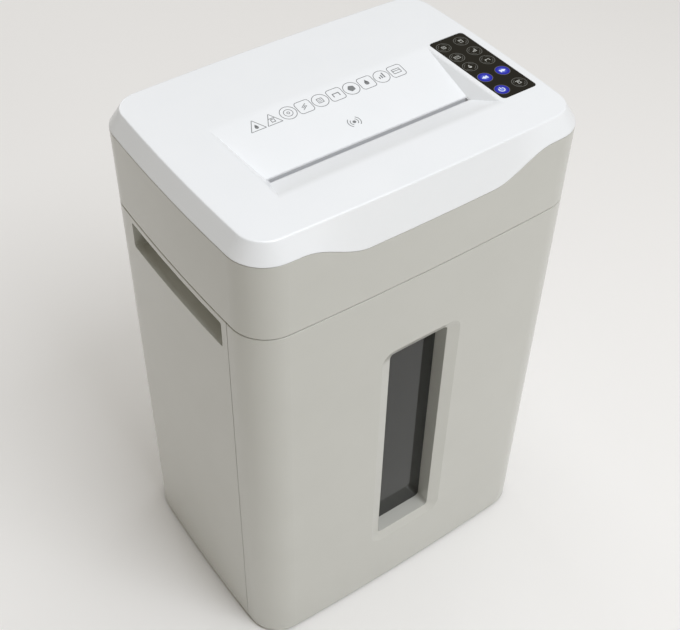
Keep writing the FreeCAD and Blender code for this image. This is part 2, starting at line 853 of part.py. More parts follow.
def cutter(y, places, ends):
    """Shaft and discs of one cutter; each disc is turned a little from the last."""
    core_x = max(front_discs) + 3.8
    shaft = rod_x(journal_radius, ends, y, cutter_z)
    core = rod_x(core_radius, (-core_x, core_x), y, cutter_z)
    discs = [hooked_disc(x, y, 9.0 * i) for i, x in enumerate(places)]
    return shaft.multiFuse([core] + discs)


def stripper_comb(rod_y_place, shaft_y, places):
    """Comb on a tie rod whose fingers clear the shreds from between the discs."""
    side = 1 if rod_y_place > shaft_y else -1
    bar_y = (rod_y_place - 6.0, rod_y_place + 6.0)
    bar = box((-plate_inner_x + 3, plate_inner_x - 3), bar_y, (cutter_z - 9, cutter_z + 9))
    finger_y = (shaft_y + side * (core_radius + 0.7), rod_y_place)
    fingers = [box((x - 1.7, x + 1.7), finger_y, (cutter_z - 5, cutter_z + 5)) for x in places]
    comb = bar.multiFuse(fingers)
    return comb.cut(rod_x(rod_radius + 0.05, (-130, 130), rod_y_place, cutter_z))


# ---------------------------------------------------------------- gears

def involute(angle):
    """Involute function."""
    return math.tan(angle) - angle


def gear(teeth, module, x, y, z, phase, bore):
    """Spur gear on an axis along X, with the middle of a tooth at the angle phase (from +Y to +Z)."""
    pitch_radius = teeth * module / 2
    base_radius = pitch_radius * math.cos(pressure_angle)
    tip_radius = pitch_radius + addendum * module
    root_radius = pitch_radius - dedendum * module
    half_at_pitch = math.pi / (2 * teeth) - tooth_thinning / (2 * pitch_radius)
    low = max(base_radius, root_radius)
    radii = [low + (tip_radius - low) * share for share in (0, 0.3, 0.65, 1)]
    if root_radius < base_radius:
        radii.insert(0, root_radius)

    def half_angle(radius):
        flank = math.acos(min(1.0, base_radius / radius)) if radius > base_radius else 0.0
        return half_at_pitch + involute(pressure_angle) - involute(flank)

    points = []
    for i in range(teeth):
        middle = phase + i * 2 * math.pi / teeth
        flank = [(r, middle - half_angle(r)) for r in radii]
        flank += [(r, middle + half_angle(r)) for r in reversed(radii)]
        points += [Vector(min(x), y + r * math.cos(a), z + r * math.sin(a)) for r, a in flank]
    face = Part.Face(Part.makePolygon(points + points[:1]))
    wheel = face.extrude(Vector(abs(x[1] - x[0]), 0, 0))
    return wheel.cut(rod_x(bore, (min(x) - 1, max(x) + 1), y, z))


def meshing_phase(phase, teeth, direction, other_teeth):
    """Phase of a gear that meshes with one of the given phase lying in that direction from it."""
    lead = (phase - direction) * teeth
    return direction + math.pi - lead / other_teeth + math.pi / other_teeth


def away(y, z, distance, angle):
    """Point at a distance and angle from another, in the plane across X."""
    return y + distance * math.cos(angle), z + distance * math.sin(angle)


second_distance = output_module * (output_teeth + pinion_teeth) / 2
first_distance = second_module * (second_teeth + pinion_teeth) / 2
motor_distance = first_module * (first_teeth + pinion_teeth) / 2
second_y, second_z = away(rear_shaft_y, cutter_z, second_distance, second_stage_angle)
first_y, first_z = away(second_y, second_z, first_distance, first_stage_angle)
motor_y, motor_z = away(first_y, first_z, motor_distance, motor_stage_angle)
stud_places = [(second_y, second_z), (first_y, first_z)]


second_pinion_phase = meshing_phase(0.0, output_teeth, second_stage_angle, pinion_teeth)
first_pinion_phase = meshing_phase(0.0, second_teeth, first_stage_angle, pinion_teeth)
motor_pinion_phase = meshing_phase(0.0, first_teeth, motor_stage_angle, pinion_teeth)


def output_gear():
    """Gear on the left end of the rear cutter."""
    return gear(output_teeth, output_module, output_x, rear_shaft_y, cutter_z, 0.0, journal_radius)


def compound_gear(wheel, wheel_x, pinion, pinion_x, y, z):
    """Wheel and pinion in one piece, running on a stud."""
    bore = stud_radius + running_clearance
    large = gear(wheel[0], wheel[1], wheel_x, y, z, wheel[2], bore)
    small = gear(pinion[0], pinion[1], pinion_x, y, z, pinion[2], bore)
    return large.fuse(small).removeSplitter()


def second_stage_gear():
    """Idler between the output gear and the first stage."""
    return compound_gear((second_teeth, second_module, 0.0), second_wheel_x,
                         (pinion_teeth, output_module, second_pinion_phase), second_pinion_x,
                         second_y, second_z)


def first_stage_gear():
    """Idler driven by the motor pinion."""
    return compound_gear((first_teeth, first_module, 0.0), first_wheel_x,
                         (pinion_teeth, second_module, first_pinion_phase), first_pinion_x,
                         first_y, first_z)


def timing_gear(y, phase):
    """One of the equal gears that keep the two cutters in step."""
    return gear(timing_teeth, timing_module, timing_x, y, cutter_z, phase, journal_radius)


def gear_studs():
    """Fixed studs of the two idlers, with heads on the inside of the plate."""
    studs = []
    for y, z in stud_places:
        pin = rod_x(stud_radius, (gearbox_end_x + 2.5, -plate_inner_x), y, z)
        head = rod_x(7.0, (-plate_inner_x, -plate_inner_x + 2), y, z)
        studs.append(fused(pin, head))
    return Part.makeCompound(studs)


def gearbox_cover():
    """Moulded cover over the gear train."""
    y = (rear_shaft_y - 36, chassis_y[1] - 4)
    z = (chassis_z + 1, chassis_top_z + 9)
    outer = rounded_block_x(y, z, (gearbox_end_x, -plate_outer_x), 10.0)
    inner = rounded_block_x((y[0] + 2, y[1] - 2), (z[0] + 2, z[1] - 2),
                            (gearbox_end_x + 2.5, -plate_outer_x + 1), 8.0)
    return outer.cut(inner)


def circlips(y, x_places):
    """Retaining rings on a shaft."""
    return Part.makeCompound([tube_x(10.5, journal_radius, (x, x + 1), y, cutter_z) for x in x_places])


# ---------------------------------------------------------------- motor and electrics

def motor_body():
    """Motor can with end bells and a nose in the gear plate."""
    front = -plate_inner_x
    rear = front + motor_length
    bell = 8.0
    can = rod_x(motor_radius, (front + bell, rear - bell), motor_y, motor_z)
    bells = [rod_x(motor_radius - 3, (front, front + bell), motor_y, motor_z),
             rod_x(motor_radius - 3, (rear - bell, rear), motor_y, motor_z),
             rod_x(12.0, (rear, rear + 6), motor_y, motor_z),
             rod_x(9.9, (front - plate_thickness, front), motor_y, motor_z)]
    bore = rod_x(motor_shaft_radius + running_clearance, (front - 10, rear + 18), motor_y, motor_z)
    return fused(can, *bells).cut(bore)


def motor_shaft():
    """Rotor shaft through the motor."""
    end_x = -plate_inner_x + motor_length + 20
    return rod_x(motor_shaft_radius, (motor_pinion_x[0], end_x), motor_y, motor_z)


def motor_pinion():
    """Steel pinion on the motor shaft."""
    return gear(pinion_teeth, first_module, motor_pinion_x, motor_y, motor_z, motor_pinion_phase,
                motor_shaft_radius)


def motor_fan():
    """Cooling fan behind the motor."""
    x = (-plate_inner_x + motor_length + 9, -plate_inner_x + motor_length + 19)
    hub = rod_x(9.0, x, motor_y, motor_z)
    disc = rod_x(26.0, (x[1] - 1.5, x[1]), motor_y, motor_z)
    blades = []
    for i in range(8):
        blade = box(x, (motor_y + 7, motor_y + 26), (motor_z - 0.7, motor_z + 0.7))
        blade.rotate(Vector(0, motor_y, motor_z), Vector(1, 0, 0), i * 45)
        blades.append(blade)
    fan = hub.multiFuse([disc] + blades)
    return fan.cut(rod_x(motor_shaft_radius, (x[0] - 1, x[1] + 1), motor_y, motor_z))


def main_board():
    """Control board on four posts at the right of the head."""
    board = box(board_x, board_y, (board_z, board_z + 1.6))
    posts = [rod_z(3.0, (chassis_z, board_z), x, y)
             for x in (board_x[0] + 4, board_x[1] - 4) for y in (board_y[0] + 4, board_y[1] - 4)]
    return board.multiFuse(posts)


def board_parts():
    """Transformer, relays, capacitor and connectors on the control board."""
    z = board_z + 1.6
    transformer = box((150, 178), (-50, -22), (z, z + 24))
    relays = [box((150, 165), (y, y + 20), (z, z + 15)) for y in (-14.0, 12.0)]
    capacitor = rod_z(6.0, (z, z + 20), 175, 6)
    connector = box((170, 180), (20, 44), (z, z + 9))
    return Part.makeCompound([transformer] + relays + [capacitor, connector])


def motor_capacitor():
    """Round capacitor beside the motor."""
    can = rod_x(15.0, (8, 62), 90.0, chassis_z + 18)
    cap = rod_x(10.0, (62, 66), 90.0, chassis_z + 18)
    return fused(can, cap)


def inlet_hole():
    """Cut-out for the mains inlet."""
    return rounded_block_y((inlet_x - 13.6, inlet_x + 13.6), (rear_fittings_z - 10, rear_fittings_z + 10),
                           (rear_panel_y - 10, rear_panel_y + 5), 2.0)


def switch_hole():
    """Cut-out for the power switch."""
    return rounded_block_y((switch_x - 10, switch_x + 10), (rear_fittings_z - 7, rear_fittings_z + 7),
                           (rear_panel_y - 10, rear_panel_y + 5), 1.0)


def mains_inlet():
    """Appliance inlet with a hollow for the lead's connector."""
    z = rear_fittings_z
    flange = rounded_block_y((inlet_x - 16, inlet_x + 16), (z - 12.5, z + 12.5),
                             (rear_panel_y, rear_panel_y + 2.5), 2.5)
    body = rounded_block_y((inlet_x - 13.5, inlet_x + 13.5), (z - 9.9, z + 9.9),
                           (rear_panel_y - 24, rear_panel_y), 2.0)
    hollow = rounded_block_y((inlet_x - 12, inlet_x + 12), (z - 8.4, z + 8.4),
                             (rear_panel_y - 18, rear_panel_y + 5), 3.0)
    return fused(flange, body).cut(hollow)


def inlet_pins():
    """Three flat pins of the mains inlet."""
    z = rear_fittings_z
    y = (rear_panel_y - 18, rear_panel_y - 5)
    places = [(-7.0, -1.5), (7.0, -1.5), (0.0, 2.5)]
    return Part.makeCompound([box((inlet_x + dx - 1, inlet_x + dx + 1), y, (z + dz - 2, z + dz + 2))
                              for dx, dz in places])


def switch_frame():
    """Bezel and body of the power switch."""
    z = rear_fittings_z
    flange = rounded_block_y((switch_x - 12.5, switch_x + 12.5), (z - 9.5, z + 9.5),
                             (rear_panel_y, rear_panel_y + 1.5), 1.5)
    body = rounded_block_y((switch_x - 9.9, switch_x + 9.9), (z - 6.9, z + 6.9),
                           (rear_panel_y - 20, rear_panel_y), 1.0)
    hollow = box((switch_x - 8.2, switch_x + 8.2), (rear_panel_y - 14, rear_panel_y + 5),
                 (z - 5.6, z + 5.6))
    return fused(flange, body).cut(hollow)


def switch_rocker():
    """Rocker of the power switch, tilted to its off side, on an axis along Z."""
    z = rear_fittings_z
    half = 7.4
    key = box((switch_x - half, switch_x + half), (rocker_y, rocker_y + 4.6), (z - 5.2, z + 5.2))
    dish = Part.makeCylinder(40.0, 12.0, Vector(switch_x, rocker_y + 4.6 + 39.2, z - 6))
    key = key.cut(dish)
    barrel = Part.makeCylinder(2.4, 10.4, Vector(switch_x, rocker_y, z - 5.2))
    rocker = fused(key, barrel)
    rocker.rotate(Vector(switch_x, rocker_y, z), Vector(0, 0, 1), rocker_off_tilt)
    return rocker


def panel_ribbon():
    """Flat cable from the touch board down to the control board."""
    x = (147.0, 159.0)
    z_low = board_z + 1.6
    z_high = top_z - wall - 1.8
    riser = box(x, (52.0, 52.6), (z_low, z_high - 3))
    landing = box(x, (24.0, 52.6), (z_high - 3, z_high - 2.4))
    drop = box(x, (24.0, 24.6), (z_high - 3, z_high))
    return fused(riser, landing, drop)


def motor_leads():
    """Two insulated wires from the motor to the control board."""
    leads = []
    for i in range(2):
        low = chassis_z + 3.0 + 4.0 * i
        points = [Vector(-20.0, motor_y + 24.0, low), Vector(40.0, motor_y + 32.0, low),
                  Vector(100.0, motor_y + 14.0, low), Vector(140.0, motor_y + 4.0, low),
                  Vector(150.0, board_y[1] + 3.0, low)]
        leads.append(cable(points, 1.2))
    return Part.makeCompound(leads)


def bin_full_sensor():
    """Pair of sensors under the head's floor, looking across the top of the bin."""
    blocks = []
    for side in (-1, 1):
        blocks.append(box((side * (chute_x + 3), side * (chute_x + 15)), (slot_y - 8, slot_y + 8),
                          (floor_z - 12, floor_z)))
    return Part.makeCompound(blocks)


# ---------------------------------------------------------------- fasteners

def pan_screw(radius, head_radius, base, direction, length):
    """Screw with a domed head; base is under the head and direction points along the shank."""
    shank = Part.makeCylinder(radius, length, base, direction)
    back = base - direction * 2.4
    head = Part.makeCylinder(head_radius, 2.4, back, direction)
    rim = [e for e in head.Edges if (e.CenterOfMass - back).Length < 0.01]
    head = head.makeFillet(0.8, rim)
    slot = Part.makeBox(head_radius * 1.2, 1.0, 1.0)
    slot.translate(Vector(-head_radius * 0.6, -0.5, -0.5))
    slot.Placement = FreeCAD.Placement(back, FreeCAD.Rotation(Vector(0, 0, 1), direction)).multiply(
        slot.Placement)
    return head.fuse(shank).cut(slot)


def case_screws():
    """Screws that hold the head on the cabinet."""
    z = seam_z + seam_gap / 2 - wall
    return Part.makeCompound([pan_screw(case_screw_radius - 0.02, 4.0, Vector(x, y, z), Vector(0, 0, 1),
                                        wall + floor_thickness) for x, y in case_screw_places])


def cover_screws():
    """Screws that hold the top cover, driven up through the head's floor."""
    return Part.makeCompound([pan_screw(case_screw_radius - 0.02, 3.6, Vector(x, y, floor_z),
                                        Vector(0, 0, 1), 16.0) for x, y in cover_screw_places])


def tub_screws():
    """Screws from inside the tub into its brackets."""
    y = tub_y[0] + tub_wall
    return Part.makeCompound([pan_screw(2.0, 4.0, Vector(x - 4, y, z), Vector(0, -1, 0), tub_wall + 1.5)
                              for x in bracket_places for z in tub_screw_heights])


def tub_with_screw_holes():
    """Tub drilled for its screws."""
    holes = [rod_y(2.1, (tub_y[0] - 1, tub_y[0] + tub_wall + 1), x - 4, z)
             for x in bracket_places for z in tub_screw_heights]
    return waste_tub().cut(holes)


# ---------------------------------------------------------------- all pieces

def timing_phase():
    """Phase of the rear timing gear in mesh with the front one."""
    return meshing_phase(0.0, timing_teeth, 0.0, timing_teeth)


pieces = {
    "cabinet_shell": cabinet_shell,
    "base_plate": base_plate,
    "rubber_feet": rubber_feet,
    "bin_runners": bin_runners,
    "catch_magnets": catch_magnets,
    "reed_switch": reed_switch,
    "bin_front": bin_front,
    "window_pane": window_pane,
    "waste_tub": tub_with_screw_holes,
    "tub_brackets": tub_brackets,
    "tub_screws": tub_screws,
    "bin_glides": bin_glides,
    "strike_arms": strike_arms,
    "interlock_magnet": interlock_magnet,
    "head_housing": head_housing,
    "top_cover": top_cover,
    "control_glass": control_glass,
    "touch_board": touch_board,
    "feed_throat": feed_throat,
    "paper_sensor": paper_sensor,
    "bin_full_sensor": bin_full_sensor,
    "side_plate_left": lambda: side_plate(-1),
    "side_plate_right": lambda: side_plate(1),
    "tie_rods": tie_rods,
    "shaft_bushes": shaft_bushes,
    "stripper_comb_front": lambda: stripper_comb(rod_places[0][0], front_shaft_y, rear_discs),
    "stripper_comb_rear": lambda: stripper_comb(rod_places[1][0], rear_shaft_y, front_discs),
    "front_cutter": lambda: cutter(front_shaft_y, front_discs, (-plate_outer_x + 0.3, 137)),
    "rear_cutter": lambda: cutter(rear_shaft_y, rear_discs, (-135, 137)),
    "front_timing_gear": lambda: timing_gear(front_shaft_y, 0.0),
    "rear_timing_gear": lambda: timing_gear(rear_shaft_y, timing_phase()),
    "output_gear": output_gear,
    "front_circlip": lambda: circlips(front_shaft_y, [timing_x[1]]),
    "rear_circlips": lambda: circlips(rear_shaft_y, [timing_x[1], output_x[0] - 1]),
    "second_stage_gear": second_stage_gear,
    "first_stage_gear": first_stage_gear,
    "gear_studs": gear_studs,
    "gearbox_cover": gearbox_cover,
    "motor_body": motor_body,
    "motor_shaft": motor_shaft,
    "motor_pinion": motor_pinion,
    "motor_fan": motor_fan,
    "motor_capacitor": motor_capacitor,
    "motor_leads": motor_leads,
    "main_board": main_board,
    "board_parts": board_parts,
    "panel_ribbon": panel_ribbon,
    "mains_inlet": mains_inlet,
    "inlet_pins": inlet_pins,
    "switch_frame": switch_frame,
    "switch_rocker": switch_rocker,
    "case_screws": case_screws,
    "cover_screws": cover_screws,
}

os.makedirs("parts", exist_ok=True)
for name, make in pieces.items():
    shape = make()
    shape.exportStep("parts/" + name + ".step")
    print(name, len(shape.Solids), "solids", round(shape.Volume / 1000, 1), "cm3")
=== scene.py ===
import json
import math

import bpy
from mathutils import Matrix, Vector


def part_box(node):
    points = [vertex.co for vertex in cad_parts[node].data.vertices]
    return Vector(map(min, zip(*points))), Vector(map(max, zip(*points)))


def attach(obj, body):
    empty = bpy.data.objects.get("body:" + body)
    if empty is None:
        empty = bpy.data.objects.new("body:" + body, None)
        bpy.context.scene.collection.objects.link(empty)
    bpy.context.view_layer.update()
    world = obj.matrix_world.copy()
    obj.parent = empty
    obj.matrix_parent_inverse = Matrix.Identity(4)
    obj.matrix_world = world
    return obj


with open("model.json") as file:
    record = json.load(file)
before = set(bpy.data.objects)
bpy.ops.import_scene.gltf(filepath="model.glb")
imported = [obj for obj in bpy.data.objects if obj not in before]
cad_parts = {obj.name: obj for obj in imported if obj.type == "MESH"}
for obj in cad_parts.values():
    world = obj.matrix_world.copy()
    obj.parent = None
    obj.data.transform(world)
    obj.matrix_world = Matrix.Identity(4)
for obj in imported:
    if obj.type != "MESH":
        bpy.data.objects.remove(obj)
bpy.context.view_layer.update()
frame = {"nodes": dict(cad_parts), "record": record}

mm = 0.001

# Places taken from the frame: the cover's top, the control glass and the power switch's rocker
cover_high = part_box("top_cover")[1]
glass_low, glass_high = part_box("control_glass")
rocker_low, rocker_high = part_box("switch_rocker")
print_thickness = 0.05 * mm
print_lift = 0.01 * mm
symbol_lift = 0.03 * mm


# ---------------------------------------------------------------- colour and nodes

def linear(colour):
    """Linear colour of an sRGB hex value."""
    parts = [int(colour[i:i + 2], 16) / 255 for i in (1, 3, 5)]
    return [c / 12.92 if c <= 0.04045 else ((c + 0.055) / 1.055) ** 2.4 for c in parts] + [1.0]


def add(tree, kind, inputs, **settings):
    """Node with its settings; an input is a value or the socket that it is linked to."""
    node = tree.nodes.new("ShaderNode" + kind)
    for name, value in settings.items():
        setattr(node, name, value)
    for name, value in inputs.items():
        if isinstance(value, bpy.types.NodeSocket):
            tree.links.new(value, node.inputs[name])
        else:
            node.inputs[name].default_value = value
    return node


def per_metre(size_mm):
    """Scale of a pattern whose features are this many millimetres apart."""
    return 1000.0 / size_mm


def new_material(name):
    """Empty material with its tree and object coordinates."""
    material = bpy.data.materials.new(name)
    material.use_nodes = True
    tree = material.node_tree
    tree.nodes.clear()
    place = add(tree, "TexCoord", {}).outputs["Object"]
    return material, tree, place


def close(tree, **inputs):
    """Ends a material in a principled surface with these inputs."""
    named = {name.replace("_", " "): value for name, value in inputs.items()}
    surface = add(tree, "BsdfPrincipled", named)
    add(tree, "OutputMaterial", {"Surface": surface.outputs["BSDF"]})
    return surface


def two_tone(tree, place, light, dark, size_mm, detail=2.0):
    """Colour that drifts between two tones over a size."""
    noise = add(tree, "TexNoise", {"Vector": place, "Scale": per_metre(size_mm), "Detail": detail})
    mixed = add(tree, "Mix", {0: noise.outputs["Fac"], 6: linear(dark), 7: linear(light)}, data_type="RGBA")
    return mixed.outputs[2]


def grained(tree, place, size_mm, depth_mm, edge_mm=0.0):
    """Normal of a surface with grain of a size and depth, its sharp edges softened."""
    noise = add(tree, "TexNoise", {"Vector": place, "Scale": per_metre(size_mm), "Detail": 3.0})
    inputs = {"Height": noise.outputs["Fac"], "Distance": depth_mm * mm, "Strength": 1.0}
    if edge_mm:
        inputs["Normal"] = add(tree, "Bevel", {"Radius": edge_mm * mm}, samples=4).outputs["Normal"]
    return add(tree, "Bump", inputs).outputs["Normal"]


# ---------------------------------------------------------------- materials

def pearl_abs():
    """Injection-moulded ABS in pearl grey from a polished tool: a clear gloss over a soft warm
    grey, with the faint waviness (orange peel) of a large moulding."""
    material, tree, place = new_material("moulded_ABS_pearl_grey")
    colour = two_tone(tree, place, "#cbccc6", "#c6c7c1", 60.0)
    close(tree, Base_Color=colour, Roughness=0.34, IOR=1.53, Coat_Weight=0.55, Coat_Roughness=0.08,
          Normal=grained(tree, place, 9.0, 0.02, 0.6))
    return material


def white_abs():
    """Injection-moulded white ABS with a fine satin texture: a broad soft highlight."""
    material, tree, place = new_material("moulded_ABS_white")
    colour = two_tone(tree, place, "#f0f3f6", "#ecf0f3", 45.0)
    close(tree, Base_Color=colour, Roughness=0.3, IOR=1.53, Coat_Weight=0.25, Coat_Roughness=0.2,
          Normal=grained(tree, place, 0.9, 0.006, 0.5))
    return material


def plastic(name, light, dark, roughness, grain_mm, depth_mm):
    """Moulded plastic with a textured or satin surface: the grain breaks up the highlight."""
    material, tree, place = new_material(name)
    close(tree, Base_Color=two_tone(tree, place, light, dark, 12.0), Roughness=roughness, IOR=1.5,
          Normal=grained(tree, place, grain_mm, depth_mm, 0.3))
    return material


def back_printed_glass():
    """Clear acrylic printed black on its back: a deep black under a sharp gloss, with a trace of
    handling haze that widens the reflection in patches."""
    material, tree, place = new_material("back_printed_acrylic_black")
    haze = add(tree, "TexNoise", {"Vector": place, "Scale": per_metre(14.0), "Detail": 4.0})
    rough = add(tree, "MapRange", {"Value": haze.outputs["Fac"], "To Min": 0.05, "To Max": 0.16})
    close(tree, Base_Color=two_tone(tree, place, "#15150f", "#0f0f0c", 20.0), IOR=1.49,
          Roughness=rough.outputs["Result"], Normal=grained(tree, place, 18.0, 0.01))
    return material


def smoked_acrylic():
    """Smoked acrylic sheet, polished on both faces: dark and see-through, with a clear reflection
    and a little dust that shows as a paler bloom."""
    material, tree, place = new_material("smoked_acrylic")
    dust = add(tree, "TexNoise", {"Vector": place, "Scale": per_metre(30.0), "Detail": 5.0})
    rough = add(tree, "MapRange", {"Value": dust.outputs["Fac"], "To Min": 0.03, "To Max": 0.12})
    close(tree, Base_Color=two_tone(tree, place, "#3e423d", "#2a2d29", 70.0), IOR=1.49,
          Roughness=rough.outputs["Result"], Transmission_Weight=0.82,
          Normal=grained(tree, place, 40.0, 0.03))
    return material


def rubber():
    """Black moulded rubber: nearly no gloss, with pale dust in its grain."""
    material, tree, place = new_material("moulded_rubber")
    close(tree, Base_Color=two_tone(tree, place, "#2c2c2b", "#171717", 3.0, 4.0), Roughness=0.75, IOR=1.52,
          Normal=grained(tree, place, 0.8, 0.04, 0.4))
    return material


def turned_steel(name, light, dark, roughness, ring_mm):
    """Steel turned on a lathe: fine rings round its axis along X that stretch the highlight."""
    material, tree, place = new_material(name)
    rings = add(tree, "TexWave", {"Vector": place, "Scale": per_metre(ring_mm) / 20, "Distortion": 0.6},
                bands_direction="X")
    bump = add(tree, "Bump", {"Height": rings.outputs["Fac"], "Distance": 0.01 * mm})
    close(tree, Base_Color=two_tone(tree, place, light, dark, 8.0), Metallic=1.0, Roughness=roughness,
          Normal=bump.outputs["Normal"])
    return material


def zinc_sheet():
    """Zinc-plated pressed steel: bright grey with the cloudy patches of the plating."""
    material, tree, place = new_material("zinc_plated_sheet")
    cells = add(tree, "TexVoronoi", {"Vector": place, "Scale": per_metre(7.0)})
    rough = add(tree, "MapRange", {"Value": cells.outputs["Distance"], "To Min": 0.28, "To Max": 0.5})
    close(tree, Base_Color=two_tone(tree, place, "#c3c6c7", "#a9adae", 10.0, 4.0), Metallic=1.0,
          Roughness=rough.outputs["Result"], Normal=grained(tree, place, 0.6, 0.008, 0.2))
    return material


def sintered(name, light, dark, roughness):
    """Pressed and sintered metal: a dull skin speckled by its open pores."""
    material, tree, place = new_material(name)
    pores = add(tree, "TexVoronoi", {"Vector": place, "Scale": per_metre(0.9)})
    bump = add(tree, "Bump", {"Height": pores.outputs["Distance"], "Distance": 0.03 * mm})
    close(tree, Base_Color=two_tone(tree, place, light, dark, 1.5, 5.0), Metallic=1.0, Roughness=roughness,
          Normal=bump.outputs["Normal"])
    return material


def painted_can():
    """Pressed steel can with a stoved black-grey enamel: smooth, with a slight orange peel."""
    material, tree, place = new_material("enamelled_motor_can")
    close(tree, Base_Color=two_tone(tree, place, "#4b4e52", "#43464a", 20.0), Roughness=0.35, IOR=1.5,
          Coat_Weight=0.3, Coat_Roughness=0.15, Normal=grained(tree, place, 2.5, 0.02, 0.5))
    return material


def solder_mask():
    """Glass-epoxy circuit board under green solder mask: tracks show as a paler relief."""
    material, tree, place = new_material("solder_mask_green")
    tracks = add(tree, "TexBrick", {"Vector": place, "Scale": per_metre(9.0), "Mortar Size": 0.03,
                                    "Color1": linear("#0e4a27"), "Color2": linear("#0b4022"),
                                    "Mortar": linear("#1f7040")})
    bump = add(tree, "Bump", {"Height": tracks.outputs["Fac"], "Distance": 0.04 * mm})
    close(tree, Base_Color=tracks.outputs["Color"], Roughness=0.3, IOR=1.55, Normal=bump.outputs["Normal"])
    return material


def screen_ink(name, colour):
    """Screen-printed ink: a thin even layer, a little rougher than the plastic under it."""
    material, tree, place = new_material(name)
    close(tree, Base_Color=two_tone(tree, place, colour, colour, 2.0), Roughness=0.45, IOR=1.5,
          Normal=grained(tree, place, 0.5, 0.004))
    return material


def key_light(name, centre, rim, strength):
    """Back-lit window in the print: light that falls from its centre to its rim."""
    material, tree, _ = new_material(name)
    nearness = add(tree, "Attribute", {}, attribute_name="glow").outputs["Fac"]
    glow = add(tree, "Math", {0: nearness, 1: 2.4}, operation="POWER").outputs["Value"]
    colour = add(tree, "Mix", {0: glow, 6: linear(rim), 7: linear(centre)}, data_type="RGBA").outputs[2]
    close(tree, Base_Color=linear("#0a0a12"), Roughness=0.2, Emission_Color=colour,
          Emission_Strength=strength)
    return material


finishes = {
    "case_grey": pearl_abs(),
    "cover_white": white_abs(),
    "base_grey": plastic("moulded_ABS_textured_grey", "#8a8986", "#7f7e7b", 0.6, 1.2, 0.03),
    "foot_rubber": rubber(),
    "nylon": plastic("machined_acetal_natural", "#e6e3d8", "#dedace", 0.42, 2.0, 0.01),
    "magnet": turned_steel("nickel_plated_magnet", "#a5a6a8", "#98999b", 0.3, 1.5),
    "panel_glass": back_printed_glass(),
    "circuit_board": solder_mask(),
    "throat_grey": plastic("moulded_ABS_light_grey", "#dcdee1", "#d6d8db", 0.45, 1.5, 0.01),
    "sensor_black": plastic("moulded_nylon_black", "#1e1e1f", "#161617", 0.4, 0.8, 0.01),
    "window_smoke": smoked_acrylic(),
    "tub_black": plastic("moulded_polypropylene_black", "#26272a", "#1d1e20", 0.5, 1.0, 0.02),
    "plated_steel": zinc_sheet(),
    "rod_steel": turned_steel("turned_bright_steel", "#b1b2b4", "#9fa0a2", 0.28, 0.8),
    "cutter_steel": turned_steel("hardened_cutter_steel", "#86878a", "#6d6e71", 0.32, 1.2),
    "gear_steel": sintered("sintered_steel", "#8f8e8c", "#716f6d", 0.45),
    "gear_nylon": plastic("moulded_acetal_ivory", "#e9e6da", "#dfdbcd", 0.38, 1.5, 0.01),
    "bronze": sintered("sintered_bronze", "#b98d52", "#94693a", 0.42),
    "gearbox_black": plastic("moulded_nylon_charcoal", "#2a2b2d", "#212224", 0.5, 1.2, 0.02),
    "motor_steel": painted_can(),
    "wire_insulation": plastic("extruded_PVC_red", "#a5231c", "#951d17", 0.35, 3.0, 0.01),
    "ribbon_grey": plastic("extruded_PVC_grey", "#bdbcb6", "#aeada7", 0.4, 1.3, 0.03),
    "board_component": plastic("moulded_epoxy_dark", "#2a3040", "#20242f", 0.4, 1.0, 0.01),
    "pin_brass": sintered("plated_brass", "#d8c894", "#c9b77f", 0.25),
}
for part in frame["record"]["subparts"]:
    node = frame["nodes"][part["node"]]
    node.data.materials.clear()
    node.data.materials.append(finishes[part["material_slot"]])


# ---------------------------------------------------------------- modelling

def nothing_selected():
    """Object mode with nothing selected."""
    if bpy.context.object and bpy.context.object.mode != "OBJECT":
        bpy.ops.object.mode_set(mode="OBJECT")
    bpy.ops.object.select_all(action="DESELECT")


def placed(turn=0.0):
    """Ends the drawing of a flat mark: turned about Z, with its place in its mesh."""
    bpy.ops.object.mode_set(mode="OBJECT")
    mark = bpy.context.object
    mark.rotation_euler.z = turn
    bpy.ops.object.transform_apply(location=True, rotation=True, scale=True)
    return mark


def flat_shape(sides, radius, at, turn=0.0, rounding=0.0):
    """Flat filled polygon, drawn in edit mode with its corners rounded."""
    nothing_selected()
    bpy.ops.mesh.primitive_circle_add(vertices=sides, radius=radius, fill_type="NGON",
                                      location=(at[0], at[1], 0))
    bpy.ops.object.mode_set(mode="EDIT")
    bpy.ops.mesh.select_all(action="SELECT")
    if rounding:
        bpy.ops.mesh.bevel(offset=rounding, segments=4, affect="VERTICES")
    return placed(turn)


def flat_outline(sides, radius, line, at, turn=0.0, rounding=0.0):
    """Flat polygon of which only the border is kept."""
    mark = flat_shape(sides, radius, at, turn, rounding)
    bpy.ops.object.mode_set(mode="EDIT")
    bpy.ops.mesh.select_all(action="SELECT")
    bpy.ops.mesh.inset(thickness=line)
    bpy.ops.mesh.delete(type="FACE")
    bpy.ops.object.mode_set(mode="OBJECT")
    return mark


def flat_bar(length, width, at, turn=0.0):
    """Flat line of a length and width, with rounded ends."""
    nothing_selected()
    bpy.ops.mesh.primitive_plane_add(size=1.0, location=(at[0], at[1], 0))
    bpy.ops.transform.resize(value=(length, width, 1))
    bpy.ops.object.transform_apply(location=False, rotation=False, scale=True)
    bpy.ops.object.mode_set(mode="EDIT")
    bpy.ops.mesh.select_all(action="SELECT")
    bpy.ops.mesh.bevel(offset=width * 0.45, segments=3, affect="VERTICES")
    return placed(turn)


